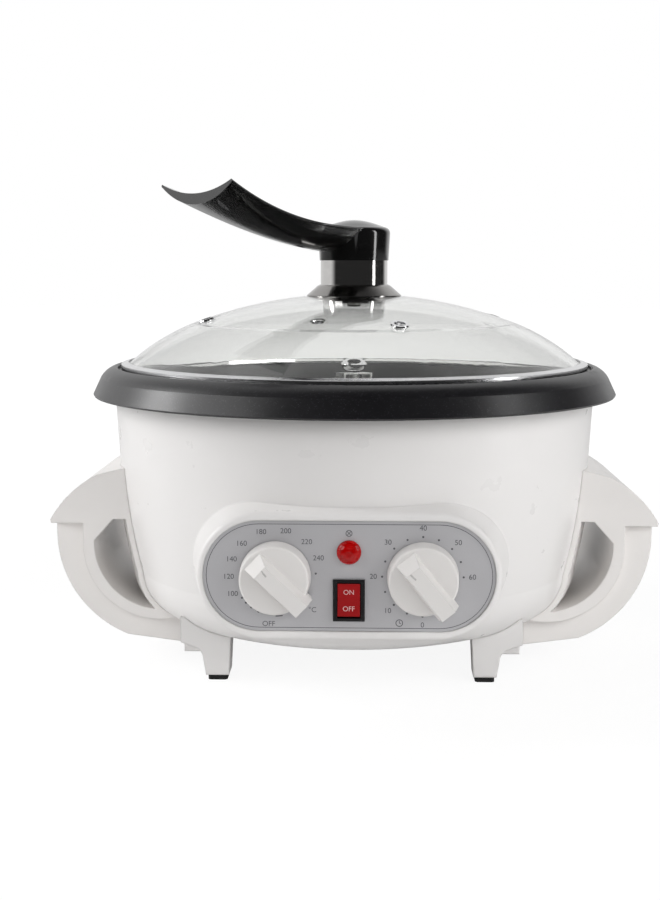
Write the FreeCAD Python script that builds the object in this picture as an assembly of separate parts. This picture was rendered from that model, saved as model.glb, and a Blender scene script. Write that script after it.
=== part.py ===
"""A home coffee bean roaster: a heated pan with a motor-driven stirrer under a loose glass lid.

Lengths are in millimetres. The bowl's axis is vertical, the control panel faces -Y and the feet stand on z = 0.
Every piece is modelled about the bowl's axis. The finished pieces are then moved along Y by row_shift_y, so that
the origin lies under the middle of the whole object's box.
"""
import FreeCAD
import Part
import math
import os

# Fits and clearances
running_fit = 0.05
screw_fit = 0.05
plug_fit = 0.15
soft_gap = 0.3
past = 5.0
crown_flat = 0.8

# Bowl-shaped housing, a moulded shell
housing_wall = 2.4
housing_base_z = 25.0
housing_base_r = 106.0
housing_low_r = 130.2
housing_low_z = 53.0
housing_waist_r = 139.0
housing_waist_z = 110.0
housing_lip_r = 141.8
housing_lip_z = 165.0
housing_opening_r = 73.0

# Control pod on the front of the housing, and the plate in it
panel_front_y = -146.0
panel_z = 74.4
pod_length = 153.0
pod_height = 65.0
pod_flare = 9.0
pod_root_y = -96.0
pod_edge_r = 2.6
plate_length = 147.0
plate_height = 56.4
plate_t = 1.0
plate_sunk = 0.8
knob_spacing = 74.0
lamp_above = 12.4
switch_below = 12.2

# Roasting pan, cast in one piece with its rolled rim and centre tube
pan_wall = 3.0
pan_floor_z = 95.0
pan_floor_r = 108.0
pan_corner_r = 127.0
pan_corner_z = 113.0
pan_mouth_r = 133.0
pan_ledge_z = 168.0
pan_recess_r = 139.8
rim_crest_r = 142.0
rim_crest_z = 170.2
rim_shoulder_r = 149.5
rim_shoulder_z = 164.3
rim_edge_r = 154.0
rim_edge_z = 153.8
rim_skin = 2.6
tube_r = 6.5
tube_bore_r = 4.6
tube_top_z = 121.0

# Lid: tempered glass dome in a steel band
glass_t = 4.0
glass_edge_r = 137.0
glass_edge_z = 169.2
glass_bevel = 0.25
dome_shoulder_r = 132.2
dome_shoulder_z = 172.6
dome_turn_r = 116.2
dome_turn_z = 184.6
dome_cap_r = 95.0
dome_cap_drop = 17.0
dome_top_z = 212.2
band_t = 0.6
band_high = 3.0
band_reach = 3.6
vent_count = 4
vent_circle_r = 88.7
vent_hole_r = 4.1
vent_rim_r = 5.3
vent_lip = 0.7
vent_first_deg = -73.2

# Lid knob with its lever arm
lid_hole_r = 4.2
flange_r = 28.0
flange_edge_z = 210.6
flange_neck_r = 20.4
flange_top_z = 217.4
collar_r = 19.8
collar_top_z = 231.6
head_low_r = 20.4
head_high_r = 21.6
head_side_z = 251.0
head_top_z = 255.2
arm_yaw_deg = 219.0
arm_reach = 113.0
arm_sections = 6
arm_lip = 1.6
arm_root_reach = 12.0
arm_root_half = 19.0
arm_waist_half = 16.5
arm_end_half = 33.0
arm_root_z = 250.5
arm_end_z = 273.5
arm_sag = 5.0
arm_root_deep = 15.0
arm_end_deep = 13.0
arm_dish = 5.5
lid_screw_r = 2.5

# Stirrer, turned by the shaft that comes up through the pan's tube
shaft_r = 3.0
shaft_low_z = 54.0
shoulder_z = 166.4
bracket_t = 1.2
bracket_span = 18.6
bracket_width = 12.0
bracket_top_z = 167.6
stirrer_yaw_deg = 26.0
arm_clear_z = 3.0
sweep_clear = 7.0
blade_high = 19.0
blade_t = 1.2
blade_in_r = 30.0
blade_pitch_deg = 28.0
blade_corner_r = 7.0
rivet_r = 1.6
stirrer_knob_r = 7.8
stirrer_knob_high = 6.6
stirrer_neck_r = 3.0
stirrer_neck_high = 1.8

# Heater under the pan
element_r = 3.5
element_ring_r = 84.0
element_gap_deg = 24.0
element_lead = 22.0
shield_t = 1.0
shield_z = 78.0
shield_r = 102.0
shield_turn_up = 8.0
shield_hole_r = 10.0
clip_count = 4
clip_long = 9.0
clip_wall = 2.6
boss_circle_r = 78.0
boss_r = 4.6
boss_first_deg = 45.0

# Motor and gearbox under the heat shield
strap_t = 2.0
strap_width = 30.0
strap_drop = 13.0
strap_half = 40.0
strap_foot = 12.0
gearbox_r = 25.0
gearbox_high = 13.0
motor_r = 28.0
motor_high = 19.0
gear_screw_x = 18.0

# Screws
screw_r = 1.5
screw_head_r = 3.0
screw_head_high = 1.9
screw_grip = 9.0

# Bottom cover
cover_r = 83.0
cover_t = 2.2
cover_slots = 10
cover_slot_in_r = 34.0
cover_slot_out_r = 62.0
cover_slot_half = 1.8

# Knobs
knob_r = 18.0
knob_disc = 11.0
knob_gap = 1.0
knob_draft = 0.7
knob_wall = 2.0
knob_hub_r = 6.0
grip_base = 12.4
grip_top = 8.0
grip_high = 7.5
grip_overhang = 2.4
temperature_pointer_deg = 313.6
timer_pointer_deg = 321.5
spindle_r = 3.0
spindle_flat = 1.0
collar_thread_r = 5.0
nut_across = 14.0
nut_high = 2.2
thermostat_r = 15.5
thermostat_deep = 20.0
timer_wide = 38.0
timer_tall = 33.0
timer_deep = 23.0

# Lamp and rocker switch
lamp_r = 6.15
lamp_dome = 4.4
lamp_stem_r = 4.9
lamp_body_r = 5.6
lamp_body_long = 17.0
switch_wide = 16.0
switch_tall = 21.3
switch_rim = 1.9
switch_body_wide = 13.4
switch_body_tall = 19.4
switch_deep = 15.0
switch_wall = 1.0
rocker_wide = 11.2
rocker_tall = 16.2
rocker_swing_deg = 20.0
rocker_proud = 1.2
rocker_deep = 7.0

# Side handles
handle_half_y = 50.0
handle_step_y = 6.0
handle_flange = 3.0
handle_top_z = 113.7
shelf_x = 173.3
shelf_z = 82.0
band_x = 155.0
handle_end_x = 99.0
handle_low_z = 10.8
handle_band_z = 27.4
finger_tip_x = 137.5
finger_tip_z = 84.4
finger_out_x = 148.6
finger_out_z = 72.0
handle_screw_x = 104.5
handle_screw_y = 26.0
handle_screw_z = 14.0

# Leg frames and feet
leg_x = 74.2
leg_y = 75.0
leg_half_y = 8.0
leg_foot_half = 6.4
leg_bottom_z = 3.0
frame_outer_x = 94.6
frame_seam_z = 21.6
frame_top_z = 36.0
frame_bar_low_z = 12.0
leg_screw_x = 89.6
leg_screw_y = 38.0
pad_high = 3.0
pad_inset = 1.0
pad_plug_r = 3.0
pad_plug_long = 4.0

# Mains inlet at the back
gland_z = 52.0
gland_bore_r = 3.6
gland_r = 6.0
gland_flange_r = 9.5
gland_long = 26.0
gland_flange_t = 2.0
terminal_wide = 34.0
terminal_deep = 16.0
terminal_high = 14.0
terminal_y = 84.0

# The whole object's box runs from the knobs' grips to the back of the rim
knob_front_y = panel_front_y + plate_sunk - knob_gap - knob_disc - grip_high
row_shift_y = -(knob_front_y + rim_edge_r) / 2.0


def v(x, y, z):
    return FreeCAD.Vector(x, y, z)


def rz(r, z):
    """A point of a turned profile, which is drawn on the XZ plane."""
    return v(r, 0.0, z)


def side(x, z):
    """A point of an outline that is drawn on the XZ plane and pushed along Y."""
    return v(x, 0.0, z)


def profile(plane, start, *steps):
    """A closed face. A step is a corner, or a pair of points: the middle and the end of an arc."""
    edges = []
    here = start
    for step in steps + (start,):
        if isinstance(step[0], tuple):
            middle, end = step
            edges.append(Part.Arc(plane(*here), plane(*middle), plane(*end)).toShape())
        else:
            end = step
            if end != here:
                edges.append(Part.LineSegment(plane(*here), plane(*end)).toShape())
        here = end
    return Part.Face(Part.Wire(edges))


def turned(start, *steps):
    """A solid of revolution about the bowl's axis."""
    return profile(rz, start, *steps).revolve(v(0, 0, 0), v(0, 0, 1), 360)


def pushed(start, *steps, half):
    """An outline on the XZ plane, made as thick as half on each side of y = 0."""
    face = profile(side, start, *steps)
    face.translate(v(0, -half, 0))
    return face.extrude(v(0, 2 * half, 0))


def rod(r, low, high, x=0.0, y=0.0):
    """An upright cylinder."""
    return Part.makeCylinder(r, high - low, v(x, y, low), v(0, 0, 1))


def spindle(r, front, back, x, z):
    """A cylinder along Y."""
    return Part.makeCylinder(r, back - front, v(x, front, z), v(0, 1, 0))


def block(low, high):
    return Part.makeBox(high[0] - low[0], high[1] - low[1], high[2] - low[2], v(*low))


def fused(shapes):
    whole = shapes[0]
    for shape in shapes[1:]:
        whole = whole.fuse(shape)
    return whole.removeSplitter()


def cut(shape, *tools):
    for tool in tools:
        shape = shape.cut(tool)
    return shape


def spun(shape, degrees):
    """A copy turned about the bowl's axis."""
    copy = shape.copy()
    copy.rotate(v(0, 0, 0), v(0, 0, 1), degrees)
    return copy


def mirrored(shape):
    """The left-hand twin of a right-hand piece."""
    return shape.mirror(v(0, 0, 0), v(1, 0, 0))


def stadium(y, length, height):
    """A face with round ends, centred on the panel, in the plane at y."""
    straight = (length - height) / 2.0
    end = height / 2.0

    def at(x, z):
        return v(x, y, panel_z + z)

    return profile(at, (-straight, end), (straight, end), ((straight + end, 0.0), (straight, -end)),
                   (-straight, -end), ((-straight - end, 0.0), (-straight, end)))


def slab(y_front, y_back, length, height):
    """A plate with round ends between two planes."""
    return stadium(y_front, length, height).extrude(v(0, y_back - y_front, 0))


def screw(x, y, z, up, grip=screw_grip):
    """A pan-head screw whose head sits against z and whose shank points up or down."""
    head = Part.makeCylinder(screw_head_r, screw_head_high, v(x, y, z), v(0, 0, -up))
    rim = [edge for edge in head.Edges if abs(edge.BoundBox.ZMin - (z - up * screw_head_high)) < 0.01
           and edge.BoundBox.ZLength < 0.01]
    head = head.makeFillet(screw_head_high * 0.45, rim)
    shank = Part.makeCylinder(screw_r, grip, v(x, y, z), v(0, 0, up))
    return fused([head, shank])


def screw_hole(x, y, low, high):
    return rod(screw_r + screw_fit, low, high, x, y)


def ring_points(count, radius, first_deg):
    """Evenly spaced places on a circle about the axis."""
    places = []
    for number in range(count):
        angle = math.radians(first_deg + 360.0 * number / count)
        places.append((radius * math.cos(angle), radius * math.sin(angle)))
    return places


def bowl(inset, top_z):
    """The bowl's outer form, or its hollow when inset is the wall."""
    base_z = housing_base_z + inset
    low = (housing_low_r - inset, housing_low_z)
    base = (housing_base_r - inset, base_z)
    lower_bulge = (housing_low_r - 6.6 - inset * 0.8, housing_base_z + 10.6 + inset * 0.6)
    waist = (housing_waist_r - inset, housing_waist_z)
    upper_bulge = (housing_waist_r - 3.0 - inset, housing_waist_z - 27.0)
    lip_slope = (housing_lip_r - housing_waist_r) / (housing_lip_z - housing_waist_z)
    lip = (housing_waist_r + lip_slope * (top_z - housing_waist_z) - inset, top_z)
    return turned((0.0, base_z), base, (lower_bulge, low), (upper_bulge, waist), lip, (0.0, top_z))


def pod(inset):
    """The control pod: a stadium that flares towards the bowl."""
    front = stadium(panel_front_y + inset, pod_length - 2 * inset, pod_height - 2 * inset)
    back = stadium(pod_root_y, pod_length + 2 * pod_flare - 2 * inset, pod_height + 2 * pod_flare - 2 * inset)
    return Part.makeLoft([front.OuterWire, back.OuterWire], True, True)


def housing_outside():
    solid = pod(0.0)
    front_edge = [edge for edge in solid.Edges if edge.BoundBox.YMax < panel_front_y + 0.1]
    solid = solid.makeFillet(pod_edge_r, front_edge)
    return fused([bowl(0.0, housing_lip_z), solid])


plate_front_y = panel_front_y + plate_sunk
plate_back_y = plate_front_y + plate_t
panel_inner_y = plate_back_y + housing_wall
floor_top_z = housing_base_z + housing_wall
shield_top_z = shield_z + shield_t
knob_half = knob_spacing / 2.0
lamp_z = panel_z + lamp_above
switch_z = panel_z - switch_below
boss_places = ring_points(4, boss_circle_r, boss_first_deg)
leg_screw_places = [(x, y) for x in (-leg_screw_x, leg_screw_x) for y in (-leg_screw_y, leg_screw_y)]
handle_screw_places = [(x, y) for x in (-handle_screw_x, handle_screw_x) for y in (-handle_screw_y, handle_screw_y)]


def panel_holes(front, back, grow):
    """What passes through the control plate and the wall behind it."""
    tools = [spindle(collar_thread_r + grow, front, back, x, panel_z) for x in (-knob_half, knob_half)]
    tools.append(spindle(lamp_stem_r + grow, front, back, 0.0, lamp_z))
    half_wide = switch_body_wide / 2.0 + grow
    half_tall = switch_body_tall / 2.0 + grow
    tools.append(block((-half_wide, front, switch_z - half_tall), (half_wide, back, switch_z + half_tall)))
    return tools


def housing_shell():
    hollow = bowl(housing_wall, housing_lip_z + past)
    pod_hollow = pod(housing_wall).common(block((-120, panel_inner_y, 0), (120, 0, 200)))
    shell = cut(housing_outside(), hollow, pod_hollow)
    recess = slab(panel_front_y - past, plate_back_y, plate_length + 2 * plug_fit, plate_height + 2 * plug_fit)
    shell = cut(shell, recess, *panel_holes(plate_back_y - past, panel_inner_y + past, plug_fit))
    shell = cut(shell, rod(housing_opening_r, 0.0, floor_top_z + past))
    bosses = [rod(boss_r, floor_top_z, shield_z, x, y) for x, y in boss_places]
    pads = [rod(boss_r, floor_top_z, floor_top_z + 8.0, x, y) for x, y in leg_screw_places]
    shell = fused([shell] + bosses + pads)
    holes = [screw_hole(x, y, 0.0, floor_top_z + 8.0) for x, y in boss_places + leg_screw_places]
    holes += [screw_hole(x, y, shield_z - 12.0, shield_z + 1.0) for x, y in boss_places]
    holes += [screw_hole(x, y, 0.0, 60.0) for x, y in handle_screw_places]
    gland_hole = spindle(gland_r + plug_fit, 60.0, 160.0, 0.0, gland_z)
    return cut(shell, *holes, gland_hole)


def bottom_cover():
    cover = rod(cover_r, housing_base_z - cover_t, housing_base_z)
    cover = cut(cover, *[screw_hole(x, y, 0.0, housing_base_z + 1.0) for x, y in boss_places])
    low = housing_base_z - cover_t - 1.0
    slot = block((cover_slot_in_r, -cover_slot_half, low), (cover_slot_out_r, cover_slot_half, housing_base_z + 1.0))
    ends = [rod(cover_slot_half, low, housing_base_z + 1.0, r, 0.0) for r in (cover_slot_in_r, cover_slot_out_r)]
    slot = fused([slot] + ends)
    for number in range(cover_slots):
        cover = cover.cut(spun(slot, 360.0 * number / cover_slots))
    return cover


def pan_outline_inside():
    """The inner side of the pan from the tube's foot to the mouth, as steps of a turned profile."""
    corner = ((pan_floor_r + 13.6, pan_floor_z + 4.6), (pan_corner_r, pan_corner_z))
    return [(pan_floor_r, pan_floor_z), corner, (pan_mouth_r, pan_ledge_z)]


def roasting_pan():
    bottom_z = pan_floor_z - pan_wall
    outer_corner = ((pan_floor_r + 13.6 + pan_wall * 0.7, pan_floor_z + 4.6 - pan_wall * 0.7),
                    (pan_floor_r + 1.0, bottom_z))
    return turned(
        (tube_bore_r, bottom_z), (tube_bore_r, tube_top_z), (tube_r, tube_top_z), (tube_r, pan_floor_z),
        *pan_outline_inside(),
        (pan_recess_r, pan_ledge_z),
        (pan_recess_r, rim_crest_z - 0.6),
        ((pan_recess_r + 0.6, rim_crest_z - 0.1), (rim_crest_r, rim_crest_z)),
        ((rim_shoulder_r - 2.9, rim_shoulder_z + 3.4), (rim_shoulder_r, rim_shoulder_z)),
        (rim_edge_r, rim_edge_z + 1.0),
        (rim_edge_r - 0.6, rim_edge_z),
        (rim_edge_r - rim_skin, rim_edge_z),
        (rim_shoulder_r - rim_skin, rim_shoulder_z - 1.2),
        (rim_shoulder_r - rim_skin - 2.6, housing_lip_z),
        (pan_mouth_r + pan_wall, housing_lip_z),
        (pan_corner_r + pan_wall, pan_corner_z),
        outer_corner)


def shaft_bush():
    return rod(tube_bore_r, pan_floor_z + 1.0, tube_top_z).cut(rod(shaft_r + running_fit, 0.0, 300.0))


def heat_shield():
    top = shield_top_z
    rim_r = shield_r - shield_t
    tray = turned((shield_hole_r, shield_z), (shield_r, shield_z), (shield_r, top + shield_turn_up),
                  (rim_r, top + shield_turn_up), (rim_r, top), (shield_hole_r, top))
    places = boss_places + [(x, 0.0) for x in (-strap_foot_x(), strap_foot_x())]
    tray = cut(tray, *[screw_hole(x, y, 0.0, 100.0) for x, y in places])
    lead_x, lead_y = element_lead_places()
    return cut(tray, *[rod(element_r + 1.5, 60.0, 100.0, lead_x * s, lead_y) for s in (-1, 1)])


def strap_foot_x():
    return strap_half + strap_foot / 2.0


def element_lead_places():
    angle = math.radians(element_gap_deg / 2.0)
    return element_ring_r * math.sin(angle), element_ring_r * math.cos(angle)


def element_z():
    return pan_floor_z - pan_wall - element_r - soft_gap


def heating_element():
    """An open ring of tube with its gap at the back, and an upright cold end on each of its ends."""
    z = element_z()
    sweep = 360.0 - element_gap_deg
    ring = Part.makeTorus(element_ring_r, element_r, v(0, 0, 0), v(0, 0, 1), 0, 360, sweep)
    ring = spun(ring, 90.0 + element_gap_deg / 2.0)
    ring.translate(v(0, 0, z))
    lead_x, lead_y = element_lead_places()
    cold_ends = [rod(element_r + 0.5, z - element_lead, z + element_r, lead_x * s, lead_y) for s in (-1, 1)]
    return fused([ring] + cold_ends)


def element_clips():
    """Cradles that hold the heating tube above the shield."""
    reach = element_r + clip_wall
    clip = block((element_ring_r - reach, -clip_long / 2.0, shield_top_z),
                 (element_ring_r + reach, clip_long / 2.0, element_z()))
    groove = Part.makeTorus(element_ring_r, element_r + plug_fit, v(0, 0, element_z()), v(0, 0, 1))
    clip = clip.cut(groove)
    return Part.makeCompound([spun(clip, 360.0 * number / clip_count) for number in range(clip_count)])


def control_plate():
    plate = slab(plate_front_y, plate_back_y, plate_length, plate_height)
    return cut(plate, *panel_holes(plate_front_y - past, plate_back_y + past, plug_fit))


def thermostat_body():
    x = -knob_half
    back = panel_inner_y + thermostat_deep
    body = spindle(thermostat_r, panel_inner_y, back, x, panel_z)
    collar = spindle(collar_thread_r, plate_front_y - nut_high, panel_inner_y, x, panel_z)
    ears = block((x - 19.0, panel_inner_y, panel_z - 5.0), (x + 19.0, panel_inner_y + 1.2, panel_z + 5.0))
    tabs = [block((x + dx - 3.2, back - 2.0, panel_z - 0.4), (x + dx + 3.2, back + 8.0, panel_z + 0.4))
            for dx in (-7.0, 7.0)]
    whole = fused([body, collar, ears] + tabs)
    return whole.cut(spindle(spindle_r + running_fit, plate_front_y - 20.0, back - 8.0, x, panel_z))


def timer_body():
    x = knob_half
    back = panel_inner_y + timer_deep
    case = block((x - timer_wide / 2.0, panel_inner_y, panel_z - timer_tall / 2.0),
                 (x + timer_wide / 2.0, back, panel_z + timer_tall / 2.0))
    upright = [edge for edge in case.Edges if edge.BoundBox.YLength > timer_deep - 1.0]
    case = case.makeFillet(4.0, upright)
    collar = spindle(collar_thread_r, plate_front_y - nut_high, panel_inner_y, x, panel_z)
    bell = spindle(13.0, back, back + 4.0, x, panel_z)
    whole = fused([case, collar, bell])
    return whole.cut(spindle(spindle_r + running_fit, plate_front_y - 20.0, back - 8.0, x, panel_z))


def control_nuts():
    nuts = []
    for x in (-knob_half, knob_half):
        corners = []
        for number in range(7):
            angle = math.radians(60.0 * number + 30.0)
            r = nut_across / 2.0 / math.cos(math.radians(30.0))
            corners.append(v(x + r * math.cos(angle), plate_front_y - nut_high, panel_z + r * math.sin(angle)))
        nut = Part.Face(Part.makePolygon(corners)).extrude(v(0, nut_high, 0))
        nuts.append(nut.cut(spindle(collar_thread_r + screw_fit, plate_front_y - past, plate_back_y, x, panel_z)))
    return Part.makeCompound(nuts)


def control_shaft(x, depth):
    """A spindle with a flat on its outer half, which the knob grips."""
    tip = plate_front_y - knob_gap - knob_disc + 1.0
    back = panel_inner_y + depth - 9.0
    shaft = spindle(spindle_r, tip, back, x, panel_z)
    flat = block((x - 9.0, tip - 1.0, panel_z + spindle_r - spindle_flat), (x + 9.0, tip + 7.0, panel_z + 9.0))
    return shaft.cut(flat)


def knob(x, pointer_deg, depth):
    """A round knob with a raised grip bar. The angle is clockwise from straight up, seen from the front."""
    base_y = plate_front_y - knob_gap
    face_y = base_y - knob_disc
    disc = Part.makeCone(knob_r, knob_r - knob_draft, knob_disc, v(0, base_y, 0), v(0, -1, 0))
    front_rim = [edge for edge in disc.Edges if edge.BoundBox.YMax < face_y + 0.1]
    disc = disc.makeFillet(1.2, front_rim)
    tail = knob_r + grip_overhang
    nose = knob_r - 0.8
    foot = grip_base / 2.0
    crown = grip_top / 2.0

    def foot_at(px, pz):
        return v(px, face_y + 2.0, pz)

    def crown_at(px, pz):
        return v(px, face_y - grip_high, pz)

    foot_face = profile(foot_at, (-foot, -tail), (foot, -tail), (foot, nose - 1.0), (-foot, nose - 1.0))
    crown_face = profile(crown_at, (-crown, 0.8 - tail), (crown, 0.8 - tail), (crown, nose - 8.5), (-crown, nose - 8.5))
    bar = Part.makeLoft([foot_face.OuterWire, crown_face.OuterWire], True, True)
    tail_drop = block((-foot + 0.6, face_y + 1.0, -tail + 0.2), (foot - 0.6, base_y - 2.5, -knob_r + 4.0))
    body = fused([disc, bar, tail_drop])
    hollow = Part.makeCylinder(knob_r - knob_wall, knob_disc - knob_wall, v(0, base_y, 0), v(0, -1, 0))
    hub = Part.makeCylinder(knob_hub_r, knob_disc - nut_high - 1.4, v(0, face_y + 0.5, 0), v(0, 1, 0))
    body = body.cut(hollow.cut(hub))
    body.rotate(v(0, 0, 0), v(0, 1, 0), pointer_deg)
    body.translate(v(x, 0, panel_z))
    return body.cut(control_shaft(x, depth))


def temperature_knob():
    return knob(-knob_half, temperature_pointer_deg, thermostat_deep)


def timer_knob():
    return knob(knob_half, timer_pointer_deg, timer_deep)


def rocker_frame():
    front = plate_front_y - switch_rim
    rim = block((-switch_wide / 2.0, front, switch_z - switch_tall / 2.0),
                (switch_wide / 2.0, plate_front_y, switch_z + switch_tall / 2.0))
    edges = [edge for edge in rim.Edges if edge.BoundBox.YMax < front + 0.01]
    rim = rim.makeChamfer(0.5, edges)
    case = block((-switch_body_wide / 2.0, plate_front_y, switch_z - switch_body_tall / 2.0),
                 (switch_body_wide / 2.0, plate_front_y + switch_deep, switch_z + switch_body_tall / 2.0))
    half_wide = rocker_wide / 2.0 + soft_gap
    half_tall = rocker_tall / 2.0 + 3 * soft_gap
    well = block((-half_wide, front - past, switch_z - half_tall),
                 (half_wide, plate_front_y + switch_deep - 2.0, switch_z + half_tall))
    tabs = [block((-3.2, plate_front_y + switch_deep - 1.0, switch_z + dz - 0.4),
                  (3.2, plate_front_y + switch_deep + 8.0, switch_z + dz + 0.4)) for dz in (-6.0, 0.0, 6.0)]
    pivots = [Part.makeCylinder(1.2, switch_wall, v(s * half_wide, rocker_pivot_y(), switch_z), v(-s, 0, 0))
              for s in (-1, 1)]
    return fused([cut(fused([rim, case]), well)] + tabs + pivots)


def rocker_pivot_y():
    return plate_front_y + 1.6


def rocker_button():
    """A seesaw: two flat halves that meet in a shallow valley, over a keel round the pivot. On is pressed."""
    half = rocker_tall / 2.0
    tilt = math.radians(rocker_swing_deg / 2.0)
    crest = plate_front_y - switch_rim - rocker_proud
    pivot_y = rocker_pivot_y()

    def at(y, z):
        return v(-rocker_wide / 2.0, y, switch_z + z)

    rise = half * math.tan(tilt)
    keel = pivot_y + rocker_deep - 3.0
    face = profile(at, (crest, 0.0), (crest - rise, half), (pivot_y - 1.0, half), (keel, 2.4), (keel, -2.4),
                   (pivot_y - 1.0, -half), (crest - rise, -half))
    button = face.extrude(v(rocker_wide, 0, 0))
    holes = [Part.makeCylinder(1.2 + running_fit, switch_wall + running_fit * 2,
                               v(s * (rocker_wide / 2.0 + 0.1), pivot_y, switch_z), v(-s, 0, 0)) for s in (-1, 1)]
    button = cut(button, *holes)
    button.rotate(v(0, pivot_y, switch_z), v(1, 0, 0), -rocker_swing_deg / 2.0)
    return button


def lamp_lens():
    """A domed lens whose stem passes through the plate."""
    def at(r, y):
        return v(r, plate_front_y - y, lamp_z)

    face = profile(at, (0.0, -plate_t - housing_wall), (lamp_stem_r, -plate_t - housing_wall), (lamp_stem_r, 0.0),
                   (lamp_r, 0.0), (lamp_r, 1.0), ((lamp_r * 0.72, lamp_dome - 1.0), (crown_flat, lamp_dome)),
                   (0.0, lamp_dome))
    return face.revolve(v(0, 0, lamp_z), v(0, 1, 0), 360)


def lamp_body():
    return spindle(lamp_body_r, panel_inner_y, panel_inner_y + lamp_body_long, 0.0, lamp_z)


def motor_strap_z():
    return shield_z - strap_drop


def motor_bracket():
    """A hat-shaped strap hung from the heat shield."""
    low = motor_strap_z() - strap_t
    half_y = strap_width / 2.0
    inner = strap_half - strap_t
    outer = strap_half + strap_foot
    hat = pushed((-outer, shield_z), (-outer, shield_z - strap_t), (-strap_half, shield_z - strap_t),
                 (-strap_half, low), (strap_half, low), (strap_half, shield_z - strap_t),
                 (outer, shield_z - strap_t), (outer, shield_z), (inner, shield_z), (inner, low + strap_t),
                 (-inner, low + strap_t), (-inner, shield_z), half=half_y)
    places = [(x, 0.0) for x in (-strap_foot_x(), strap_foot_x(), -gear_screw_x, gear_screw_x)]
    hat = cut(hat, *[screw_hole(x, y, 0.0, 100.0) for x, y in places])
    return hat.cut(rod(shaft_r + 3.0, 0.0, 100.0))


def gearbox():
    top = motor_strap_z() - strap_t
    case = rod(gearbox_r, top - gearbox_high, top)
    case = cut(case, rod(shaft_r + running_fit, shaft_low_z - soft_gap, 100.0))
    return cut(case, *[screw_hole(x, 0.0, top - screw_grip, 100.0) for x in (-gear_screw_x, gear_screw_x)])


def motor_can():
    top = motor_strap_z() - strap_t - gearbox_high
    low = top - motor_high
    return turned((0.0, low), (motor_r - 2.5, low), ((motor_r - 0.8, low + 0.7), (motor_r, low + 2.5)),
                  (motor_r, top), (0.0, top))


def terminal_block():
    low = floor_top_z
    body = block((-terminal_wide / 2.0, terminal_y, low), (terminal_wide / 2.0, terminal_y + terminal_deep, low + terminal_high))
    wells = [Part.makeCylinder(2.4, 5.0, v(x, terminal_y + terminal_deep / 2.0, low + terminal_high), v(0, 0, -1))
             for x in (-11.0, 0.0, 11.0)]
    return cut(body, *wells)


def cord_gland():
    """A strain relief pushed into the back of the housing. Its axis points backwards."""
    wall_y = gland_wall_y()
    inner = wall_y - housing_wall - 3.0
    flange = spindle(gland_flange_r, wall_y - 0.2, wall_y + gland_flange_t, 0.0, gland_z)
    stem = spindle(gland_r, inner - 4.0, wall_y, 0.0, gland_z)
    nose = Part.makeCone(gland_r + 0.8, gland_r - 0.6, gland_long - 8.0, v(0, wall_y, gland_z), v(0, 1, 0))
    body = fused([flange, stem, nose]).cut(bowl(0.0, housing_lip_z).cut(spindle(gland_r, 0.0, 200.0, 0.0, gland_z)))
    return body.cut(spindle(gland_bore_r, 0.0, 200.0, 0.0, gland_z))


def gland_wall_y():
    return housing_low_r - 0.4


def handle_band_outline():
    """The handle's inner band and the slab above it, which stand proud of the outer band."""
    return ((handle_end_x, handle_band_z), ((141.0, 37.0), (band_x, 66.0)), (band_x, shelf_z),
            (shelf_x, shelf_z), (shelf_x + 0.4, shelf_z + 2.0),
            ((162.6, 98.4), (146.0, 110.2)), (132.0, handle_top_z), (100.0, handle_top_z),
            (100.0, 60.0), (handle_end_x, 60.0))


def right_handle():
    """A loop whose outer band is set back from the inner one. A flange hugs the round housing."""
    inner = pushed(*handle_band_outline(), half=handle_half_y)
    outer = pushed((handle_end_x, handle_low_z), (131.0, 15.0), ((160.5, 39.0), (171.2, shelf_z - 8.0)),
                   (171.2, shelf_z + 1.0), (band_x - 3.0, shelf_z + 1.0), (band_x - 3.0, 60.0),
                   ((135.0, 36.0), (handle_end_x, handle_band_z + 1.0)), half=handle_half_y - handle_step_y)
    finger = pushed((finger_tip_x, finger_tip_z), (finger_out_x, finger_out_z),
                    ((136.2, 41.8), (108.0, 31.6)), (90.0, 31.6), (90.0, finger_tip_z), half=handle_half_y + past)
    finger = finger.cut(bowl_skin(handle_flange))
    whole = fused([inner, outer]).cut(finger)
    whole = cut(whole, bowl(0.0, housing_lip_z))
    screws = [screw_hole(x, y, 0.0, 60.0) for x, y in handle_screw_places]
    sinks = [rod(screw_head_r + soft_gap, 0.0, handle_screw_z, x, y) for x, y in handle_screw_places]
    return cut(whole, *screws, *sinks)


def bowl_skin(grow):
    """The bowl grown outwards by the handle's flange."""
    return bowl(-grow, housing_lip_z)


def left_handle():
    return mirrored(right_handle())


def leg_block(sign):
    """One leg with the web that runs out to the handle, before it is fitted under the bowl."""
    top = frame_top_z
    foot = leg_foot_half
    inner = leg_x - foot - 1.8
    outline = ((inner, top), (leg_x - foot, leg_bottom_z), (leg_x + foot, leg_bottom_z), (leg_x + foot + 1.6, 13.0),
               ((leg_x + foot + 3.4, 17.0), (leg_x + foot + 7.4, 19.0)), (frame_outer_x, frame_seam_z),
               (frame_outer_x, top))
    leg = pushed(*outline, half=leg_half_y)
    leg.translate(v(0, sign * leg_y, 0))
    return leg


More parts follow.
